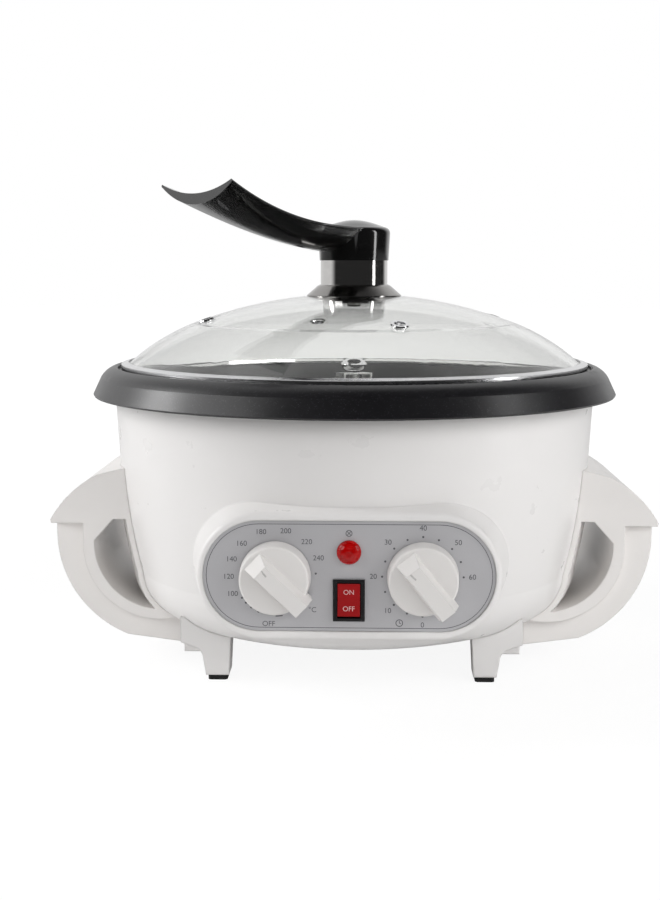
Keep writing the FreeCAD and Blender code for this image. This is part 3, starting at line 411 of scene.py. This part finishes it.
WHITE = moulded("white_plastic", (0.80, 0.785, 0.775), 0.30, coat=0.2, grain=1800.0,
                grain_depth=0.001 * MM, soften=1.6 * MM)
HANDLE = moulded("handle_plastic", (0.87, 0.845, 0.825), 0.34, coat=0.15, grain=1800.0,
                 grain_depth=0.001 * MM, soften=1.2 * MM)
KNOB = moulded("knob_plastic", (0.75, 0.73, 0.715), 0.4, shine=0.2, soften=0.4 * MM)
BLACK_GLOSS = moulded("black_gloss", (0.005, 0.005, 0.005), 0.12, coat=0.5, mottling=0.3, grain=300.0,
                      grain_depth=0.002 * MM)
COLLAR = polished("dark_collar", (0.60, 0.59, 0.58), 0.06)
FLANGE = brushed("dark_flange", (0.34, 0.33, 0.32), 0.16, EVEN, 40.0)
BLACK_MATTE = moulded("black_plastic", (0.008, 0.008, 0.009), 0.42, mottling=0.3, shine=0.3)
GREY_PLASTIC = moulded("grey_plastic", (0.12, 0.12, 0.13), 0.5, mottling=0.1)
RED_ROCKER = moulded("red_plastic", (0.34, 0.002, 0.004), 0.3, mottling=0.1, shine=0.25)
RED_LENS = red_lens("red_lens")
NONSTICK = nonstick("nonstick")
SILVER = panel_silver("panel_silver")
GLASS = clear_glass("clear_glass")
STEEL = polished("polished_steel", (0.78, 0.78, 0.79))
BAND_STEEL = brushed("band_steel", (0.74, 0.74, 0.75), 0.2)
BRUSHED = brushed("brushed_steel", (0.62, 0.62, 0.61), 0.28)
PLATED = brushed("plated_steel", (0.52, 0.52, 0.50), 0.34, EVEN, 200.0)
SHEET = brushed("aluminium_sheet", (0.66, 0.66, 0.67), 0.3, (30.0, 1.0, 1.0))
ELEMENT = brushed("element_steel", (0.17, 0.175, 0.16), 0.45, EVEN, 120.0)
BRASS = brushed("bush_brass", (0.55, 0.38, 0.14), 0.3)
RUBBER = rubber("black_rubber", (0.014, 0.014, 0.014))
WASHER = rubber("soft_washer", (0.10, 0.10, 0.10))
INK_GREY = ink("ink_grey", (0.10, 0.10, 0.11))
# Painted shade: the grey strip on each knob's bar stands for the shade in its pointer groove.
GROOVE_SHADE_PAINT = ink("painted_groove_shade", (0.42, 0.41, 0.40))
INK_WHITE = ink("ink_white", (0.62, 0.40, 0.40))

FINISH = {
    "housing_shell": WHITE, "bottom_cover": WHITE, "left_leg_frame": WHITE, "right_leg_frame": WHITE,
    "left_handle": HANDLE, "right_handle": HANDLE,
    "foot_pad_front_left": RUBBER, "foot_pad_front_right": RUBBER,
    "foot_pad_rear_left": RUBBER, "foot_pad_rear_right": RUBBER,
    "roasting_pan": NONSTICK, "shaft_bush": BRASS,
    "heat_shield": SHEET, "heating_element": ELEMENT, "element_clips": PLATED, "motor_bracket": PLATED,
    "control_plate": SILVER, "thermostat_body": PLATED, "thermostat_shaft": BRUSHED, "timer_body": PLATED,
    "timer_shaft": BRUSHED, "control_nuts": PLATED, "temperature_knob": KNOB, "timer_knob": KNOB,
    "rocker_frame": BLACK_MATTE, "rocker_button": RED_ROCKER,
    "lamp_lens": RED_LENS, "lamp_body": GREY_PLASTIC,
    "gearbox": PLATED, "motor_can": PLATED, "terminal_block": GREY_PLASTIC, "cord_gland": BLACK_MATTE,
    "lid_glass": GLASS, "lid_band": BAND_STEEL, "lid_vents": STEEL, "lid_flange": FLANGE,
    "lid_collar": COLLAR, "lid_handle": BLACK_GLOSS, "lid_screw": PLATED, "lid_washer": WASHER,
    "drive_shaft": BRUSHED, "stirrer_bracket": BRUSHED, "stirrer_blades": BRUSHED, "blade_rivets": STEEL,
    "stirrer_knob": STEEL,
    "cover_screws": PLATED, "leg_screws": PLATED, "handle_screws": PLATED, "shield_screws": PLATED,
    "motor_screws": PLATED,
}


def dress_nodes():
    """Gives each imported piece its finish."""
    for name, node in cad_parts.items():
        node.data.materials.clear()
        node.data.materials.append(FINISH[name])


def new_object(name, data):
    made = bpy.data.objects.new(name, data)
    bpy.context.scene.collection.objects.link(made)
    return made


def piece(name, mesh, finish, body):
    """A new object that rides on a body and takes the finish that it is given."""
    made = new_object(name, mesh)
    mesh.materials.clear()
    mesh.materials.append(finish)
    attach(made, body)
    return made


def from_bmesh(name, bm):
    """A mesh from a closed bmesh, with its faces turned outwards."""
    bmesh.ops.recalc_face_normals(bm, faces=bm.faces)
    mesh = bpy.data.meshes.new(name)
    bm.to_mesh(mesh)
    bm.free()
    return mesh


def smooth(mesh, sharp_deg=38.0):
    mesh.shade_smooth()
    mesh.set_sharp_from_angle(angle=math.radians(sharp_deg))
    return mesh


def walls(bm, first, second):
    """Joins two closed rows of as many points."""
    for number in range(len(first)):
        after = (number + 1) % len(first)
        bm.faces.new((first[number], first[after], second[after], second[number]))


def turned(name, outline, steps=96):
    """A closed mesh turned round the upright axis from (radius, height) points that start and end on it."""
    bm = bmesh.new()
    low = bm.verts.new((0.0, 0.0, outline[0][1]))
    high = bm.verts.new((0.0, 0.0, outline[-1][1]))
    angles = [2 * math.pi * n / steps for n in range(steps)]
    rings = []
    for radius, z in outline[1:-1]:
        rings.append([bm.verts.new((radius * math.cos(angle), radius * math.sin(angle), z))
                      for angle in angles])
    for n in range(steps):
        after = (n + 1) % steps
        bm.faces.new((low, rings[0][after], rings[0][n]))
        bm.faces.new((high, rings[-1][n], rings[-1][after]))
        for first, second in zip(rings, rings[1:]):
            bm.faces.new((first[n], first[after], second[after], second[n]))
    return from_bmesh(name, bm)


def combined(name, first, second, operation):
    """The union or difference of two closed meshes."""
    objects = [new_object(f"{name}_first", first), new_object(f"{name}_second", second)]
    join = objects[0].modifiers.new("join", "BOOLEAN")
    join.operation = operation
    join.solver = "EXACT"
    join.object = objects[1]
    bpy.context.view_layer.update()
    mesh = bpy.data.meshes.new_from_object(objects[0].evaluated_get(bpy.context.evaluated_depsgraph_get()))
    for made in objects:
        bpy.data.objects.remove(made)
    mesh.name = name
    return mesh


def bow(half, deep, steps=ARC_STEPS):
    """Points of an arc that hangs between two ends, from its left end to its right end."""
    radius = (half * half + deep * deep) / (2 * deep)
    spread = math.asin(half / radius)
    angles = [-spread + 2 * spread * n / steps for n in range(steps + 1)]
    return [(radius * math.sin(angle), radius - deep - radius * math.cos(angle)) for angle in angles]


def arm_section(share, root_z, end_z):
    """The crescent across the arm: a dished top, two round lips and a belly, as (across, height) points."""
    waist = between(ARM_ROOT_HALF, ARM_WAIST_HALF, min(1.0, share / ARM_WAIST_SHARE))
    flare = max(0.0, share - ARM_WAIST_SHARE) / (1.0 - ARM_WAIST_SHARE)
    half = waist + (ARM_END_HALF - ARM_WAIST_HALF) * flare ** ARM_FLARE
    edge_z = between(root_z, end_z, share) - ARM_SAG * 4.0 * share * (1.0 - share)
    deep = between(ARM_ROOT_DEEP, ARM_END_DEEP, share) - ARM_LIP
    dish = between(ARM_ROOT_DISH, ARM_END_DISH, share)
    lip_r = ARM_LIP / 2
    lip = [math.pi * n / LIP_STEPS for n in range(1, LIP_STEPS)]
    outline = [(across, edge_z + z) for across, z in bow(half, dish)]
    outline += [(half + lip_r * math.sin(angle), edge_z - lip_r + lip_r * math.cos(angle)) for angle in lip]
    outline += [(-across, edge_z - ARM_LIP + z) for across, z in bow(half, deep)]
    outline += [(-half - lip_r * math.sin(angle), edge_z - lip_r - lip_r * math.cos(angle)) for angle in lip]
    return outline


def lever_arm(root_z, end_z):
    """The arm through its sections, from inside the head to the wide end."""
    bm = bmesh.new()
    rings = []
    for number in range(ARM_STEPS + 1):
        share = number / ARM_STEPS
        reach = between(ARM_ROOT_REACH, ARM_REACH, share)
        rings.append([bm.verts.new(ARM_TURN @ Vector((reach, across, z)))
                      for across, z in arm_section(share, root_z, end_z)])
    for first, second in zip(rings, rings[1:]):
        walls(bm, first, second)
    bm.faces.new(rings[0][::-1])
    bm.faces.new(rings[-1])
    return from_bmesh("lever_arm", bm)


def head_outline(low_z, side_z):
    """The head's (radius, height) points: a side that widens upwards, a round edge and a low crown."""
    outline = [(0.0, low_z), (HEAD_LOW_R, low_z), (HEAD_R, side_z - HEAD_ROUND)]
    for step in range(1, HEAD_STEPS + 1):
        angle = math.radians(HEAD_ROUND_DEG) * step / HEAD_STEPS
        outline.append((HEAD_R - HEAD_ROUND + HEAD_ROUND * math.cos(angle),
                        side_z - HEAD_ROUND + HEAD_ROUND * math.sin(angle)))
    edge_r, edge_z = outline[-1]
    crown = side_z + HEAD_CROWN - edge_z
    outline += [(edge_r * (1 - n / HEAD_STEPS), edge_z + crown * math.sin(math.pi / 2 * n / HEAD_STEPS))
                for n in range(1, HEAD_STEPS)]
    return outline + [(0.0, edge_z + crown)]


def screw_pocket(root_z, end_z):
    """The round hole to cut in the belly of the arm."""
    share = (POCKET_REACH - ARM_ROOT_REACH) / (ARM_REACH - ARM_ROOT_REACH)
    belly_z = min(z for across, z in arm_section(share, root_z, end_z))
    low_z = belly_z - POCKET_BELOW
    high_z = belly_z + POCKET_DEEP
    pocket = turned("lever_pocket", [(0.0, low_z), (POCKET_R, low_z), (POCKET_R, high_z), (0.0, high_z)],
                    POCKET_STEPS)
    pocket.transform(Matrix.Translation(ARM_TURN @ Vector((POCKET_REACH, 0.0, 0.0))))
    return pocket


def lever_knob():
    """The lid's knob in one moulding."""
    low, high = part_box("lid_handle")
    side_z = low.z + HEAD_HIGH
    root_z = side_z - ARM_ROOT_DROP
    head = turned("lever_head", head_outline(low.z, side_z))
    whole = combined("lever_whole", head, lever_arm(root_z, high.z), "UNION")
    whole = combined("lever_knob", whole, screw_pocket(root_z, high.z), "DIFFERENCE")
    whole.transform(Matrix.Translation(axis))
    made = piece("lever_knob", smooth(whole), BLACK_GLOSS, "lid")
    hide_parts("lid_handle")


def slab(bm, front_places, back_places):
    """A thin closed piece between a front and a back outline."""
    front = [bm.verts.new(place) for place in front_places]
    back = [bm.verts.new(place) for place in back_places]
    bm.faces.new(front)
    bm.faces.new(back[::-1])
    walls(bm, front, back)


def raised(bm, outline):
    """Ink on the panel inside a closed outline."""
    slab(bm, [(x, ink_front, z) for x, z in outline], [(x, ink_back, z) for x, z in outline])


def ring(bm, inner, outer):
    """Ink on the panel between two outlines with as many points."""
    lines = ((inner, ink_front), (outer, ink_front), (outer, ink_back), (inner, ink_back))
    loops = [[bm.verts.new((x, y, z)) for x, z in line] for line, y in lines]
    for first, second in zip(loops, loops[1:] + loops[:1]):
        walls(bm, first, second)


def circle(x, z, radius, steps=32):
    return [(x + radius * math.cos(2 * math.pi * n / steps), z + radius * math.sin(2 * math.pi * n / steps))
            for n in range(steps)]


def stadium(x, z, half_long, half_high, steps=24):
    """A strip's outline with round ends."""
    straight = half_long - half_high
    points = []
    for sign in (1, -1):
        for n in range(steps + 1):
            angle = sign * math.pi / 2 - math.pi * n / steps
            points.append((x + sign * straight + half_high * math.cos(angle),
                           z + half_high * math.sin(angle)))
    return points


def strip(x, z, degrees, start, end, half_wide):
    """The corners of a straight strip on a line from a place, at degrees clockwise from straight up."""
    angle = math.radians(degrees)
    corners = ((start, -half_wide), (start, half_wide), (end, half_wide), (end, -half_wide))
    return [(x + along * math.sin(angle) + across * math.cos(angle),
             z + along * math.cos(angle) - across * math.sin(angle)) for along, across in corners]


def clock_place(centre, radius, degrees):
    """A place round a knob, at degrees clockwise from straight up, seen from the front."""
    angle = math.radians(degrees)
    return centre.x + radius * math.sin(angle), centre.z + radius * math.cos(angle)


def words_mesh(name, text, high, x, z, y_front):
    """Flat letters or numbers as a mesh, centred on a place of the panel."""
    curve = bpy.data.curves.new(name, "FONT")
    curve.body = text
    curve.align_x = "CENTER"
    curve.align_y = "CENTER"
    curve.size = high / CAPITAL_SHARE
    curve.extrude = INK_T / 2
    carrier = bpy.data.objects.new(name + "_text", curve)
    mesh = bpy.data.meshes.new_from_object(carrier)
    bpy.data.objects.remove(carrier)
    bpy.data.curves.remove(curve)
    upright = Matrix.Rotation(math.radians(90), 4, "X")
    mesh.transform(Matrix.Translation((x, y_front + INK_T / 2, z)) @ upright)
    return mesh


def panel_print(name, mesh):
    piece(name, mesh, INK_GREY, "base")


def print_words(name, text, centre, radius, degrees):
    x, z = clock_place(centre, radius, degrees)
    panel_print(name, words_mesh(name, text, NUMBER_HIGH, x, z, ink_front))


def print_dots(name, centre, degrees_list):
    bm = bmesh.new()
    for degrees in degrees_list:
        x, z = clock_place(centre, TICK_R, degrees)
        raised(bm, circle(x, z, DOT_R, DOT_STEPS))
    panel_print(name, from_bmesh(name, bm))


def temperature_scale():
    """Numbers, dots, the unit, and OFF with its bracket."""
    centre = middle("thermostat_shaft")
    for number, degrees in TEMPERATURE_MARKS:
        print_words(f"print_{number}_degrees", str(number), centre, LABEL_R, degrees)
    print_words("print_unit", "°C", centre, UNIT_R, UNIT_DEG)
    print_words("print_temperature_off", "OFF", centre, OFF_R, OFF_DEG)
    print_dots("print_temperature_dots", centre, TEMPERATURE_DOTS)
    bm = bmesh.new()
    inner = [clock_place(centre, TICK_R, degrees) for degrees in BRACKET_DEGREES]
    outer = [clock_place(centre, BRACKET_OUT_R, degrees) for degrees in BRACKET_DEGREES]
    raised(bm, inner + outer[::-1])
    panel_print("print_off_bracket", from_bmesh("print_off_bracket", bm))


def timer_scale():
    """Minutes, dots at each five minutes, and a small clock."""
    centre = middle("timer_shaft")
    for number, minutes in enumerate(TIMER_MINUTES):
        degrees = TIMER_FROM_DEG + number * TIMER_STEP_DEG
        print_words(f"print_{minutes}_minutes", str(minutes), centre, TIMER_LABEL_R, degrees)
    dots = range(2 * len(TIMER_MINUTES) - 1)
    print_dots("print_timer_dots", centre, [TIMER_FROM_DEG + TIMER_STEP_DEG / 2 * number for number in dots])
    bm = bmesh.new()
    x, z = clock_place(centre, CLOCK_AT_R, CLOCK_AT_DEG)
    ring(bm, circle(x, z, CLOCK_IN_R), circle(x, z, CLOCK_OUT_R))
    for degrees, long in CLOCK_HANDS:
        raised(bm, strip(x, z, degrees, 0.0, long, STROKE_HALF))
    panel_print("print_timer_sign", from_bmesh("print_timer_sign", bm))


def lamp_sign():
    """A ring with a cross, the usual drawing for a lamp."""
    lens = middle("lamp_lens")
    x, z = lens.x, lens.z + LAMP_SIGN_UP
    bm = bmesh.new()
    ring(bm, circle(x, z, LAMP_SIGN_IN_R), circle(x, z, LAMP_SIGN_OUT_R))
    for degrees in LAMP_CROSS_DEGREES:
        raised(bm, strip(x, z, degrees, -LAMP_CROSS_REACH, LAMP_CROSS_REACH, STROKE_HALF))
    panel_print("print_lamp_sign", from_bmesh("print_lamp_sign", bm))


def panel_outline():
    """The thin dark line round the edge of the silver panel."""
    centre = (plate_low + plate_high) / 2
    half_long = (plate_high.x - plate_low.x) / 2 - OUTLINE_INSET
    half_high = (plate_high.z - plate_low.z) / 2 - OUTLINE_INSET
    bm = bmesh.new()
    ring(bm, stadium(centre.x, centre.z, half_long - OUTLINE_WIDE, half_high - OUTLINE_WIDE),
         stadium(centre.x, centre.z, half_long, half_high))
    panel_print("print_panel_outline", from_bmesh("print_panel_outline", bm))


def rocker_words():
    """ON and OFF on the two slanted halves of the rocker."""
    low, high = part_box("rocker_button")
    centre = (low + high) / 2
    for name, text, side in (("print_switch_on", "ON", 1), ("print_switch_off", "OFF", -1)):
        z = centre.z + side * (high.z - low.z) * WORD_UP_SHARE
        y_front = surface_y("rocker_button", centre.x, z) - INK_T - INK_GAP
        mesh = words_mesh(name, text, WORD_HIGH, centre.x, z, y_front)
        slope = surface_slope("rocker_button", centre.x, z)
        pivot = Matrix.Translation((centre.x, y_front + INK_T, z))
        mesh.transform(pivot @ Matrix.Rotation(slope, 4, "X") @ pivot.inverted())
        piece(name, mesh, INK_WHITE, "rocker")


def bar_degrees(node, centre):
    """The way that a knob's bar points, clockwise from straight up: where the front stands out most."""
    def front(degrees):
        return surface_y(node, *clock_place(centre, MARK_R, degrees))
    return min(BAR_TURNS, key=lambda degrees: sum(front(degrees + step) for step in BAR_SPREAD))


def dial_mark(name, node, body):
    """Painted shade: a short grey strip on the top of a knob's bar, for the shade in its pointer groove."""
    centre = middle(node)
    corners = strip(centre.x, centre.z, bar_degrees(node, centre), MARK_R - MARK_LONG / 2,
                    MARK_R + MARK_LONG / 2, MARK_WIDE / 2)
    back = [(x, surface_y(node, x, z) - INK_GAP, z) for x, z in corners]
    bm = bmesh.new()
    slab(bm, [(x, y - INK_T, z) for x, y, z in back], back)
    piece(name, from_bmesh(name, bm), GROOVE_SHADE_PAINT, body)


def floor():
    """A pale floor with painted shade towards the camera. The camera sees it nearly as white as the room,
    and other rays see its own colour.
    """
    bm = bmesh.new()
    bmesh.ops.create_grid(bm, x_segments=FLOOR_CELLS, y_segments=FLOOR_CELLS, size=FLOOR_HALF)
    mesh = bpy.data.meshes.new("floor")
    bm.to_mesh(mesh)
    bm.free()
    made = new_object("floor", mesh)
    paint = Paint("pale_floor").put(Roughness=0.9, Specular_IOR_Level=0.0)
    along = paint.node("SeparateXYZ")
    paint.link(paint.place, along, 0)
    # Painted shade: the floor's colour darkens towards the camera, so that glossy pieces mirror a dark floor
    # in front of them.
    pale = paint.spread(along.outputs["Y"], FLOOR_PAINTED_SHADE, FLOOR_PALE, FLOOR_PAINTED_SHADE_Y, FLOOR_PALE_Y)
    paint.link(pale, paint.shader, "Base Color")
    away = paint.node("VectorMath")
    away.operation = "LENGTH"
    paint.link(paint.place, away, 0)
    unshaded = paint.spread(away.outputs["Value"], SHADOW_WHITE, 1.0, SHADOW_NEAR, SHADOW_FAR)
    glow = paint.node("Emission", Color=FULL_WHITE, Strength=FLOOR_GLOW)
    mix = paint.node("MixShader")
    paint.link(paint.maths("MULTIPLY", paint.seen(), unshaded), mix, 0)
    paint.link(paint.shader.outputs[0], mix, 1)
    paint.link(glow.outputs[0], mix, 2)
    paint.link(mix.outputs[0], paint.tree.nodes["Material Output"], "Surface")
    mesh.materials.append(paint.made)


def world_light():
    """A room that is white behind the object and dark on the camera's side, as a studio is."""
    world = bpy.data.worlds.new("room")
    bpy.context.scene.world = world
    world.use_nodes = True
    room = Tree(world.node_tree, "Generated")
    background = room.tree.nodes["Background"]
    background.inputs["Color"].default_value = FULL_WHITE
    towards = room.node("VectorMath")
    towards.operation = "DOT_PRODUCT"
    towards.inputs[1].default_value = BACKDROP_WAY
    room.link(room.place, towards, 0)
    level = room.node("Mix", B=1.0)
    room.link(room.seen(), level, "Factor")
    room.link(room.spread(towards.outputs["Value"], ROOM_DARK, ROOM_WHITE, ROOM_DARK_TO, ROOM_WHITE_FROM,
                          "SMOOTHSTEP"), level, "A")
    room.link(level.outputs["Result"], background, "Strength")


def lamp(name, place, wide, high, watts, aim_z=0.12):
    """A lamp that faces a place over the middle of the floor."""
    data = bpy.data.lights.new(name, "AREA")
    data.shape = "RECTANGLE"
    data.size = wide
    data.size_y = high
    data.energy = watts
    made = new_object(name, data)
    made.location = place
    made.rotation_euler = (Vector((0.0, 0.0, aim_z)) - Vector(place)).to_track_quat("-Z", "Y").to_euler()
    return made


def light():
    """Three lamps that the polished pieces mirror, and two fills that they don't."""
    lamp("key_left", (-1.45, -0.95, 0.95), wide=0.9, high=0.9, watts=8.0)
    lamp("rim_left", (-1.5, 0.05, 0.75), wide=0.35, high=0.8, watts=11.0, aim_z=0.17)
    lamp("strip_right", (1.35, -0.42, 0.5), wide=0.2, high=1.2, watts=5.0, aim_z=0.15)
    lamp("fill_front", (0.2, -2.0, 0.95), wide=1.4, high=1.2, watts=11.5).visible_glossy = False
    lamp("fill_right", (1.5, -1.1, 0.8), wide=1.4, high=1.2, watts=15.0).visible_glossy = False


def camera():
    data = bpy.data.cameras.new("camera")
    data.sensor_width = CAMERA_SENSOR
    data.lens = CAMERA_LENS
    made = new_object("camera", data)
    made.location = axis + CAMERA_FROM_AXIS
    made.rotation_euler = (math.radians(90.0 - CAMERA_DOWN_DEG), 0.0, math.radians(CAMERA_YAW_DEG))
    bpy.context.scene.camera = made


dress_nodes()
lever_knob()
temperature_scale()
timer_scale()
lamp_sign()
panel_outline()
rocker_words()
dial_mark("temperature_knob_groove_shade", "temperature_knob", "temperature_dial")
dial_mark("timer_knob_groove_shade", "timer_knob", "timer_dial")
floor()
world_light()
light()
camera()
bpy.context.scene.view_settings.view_transform = "Standard"
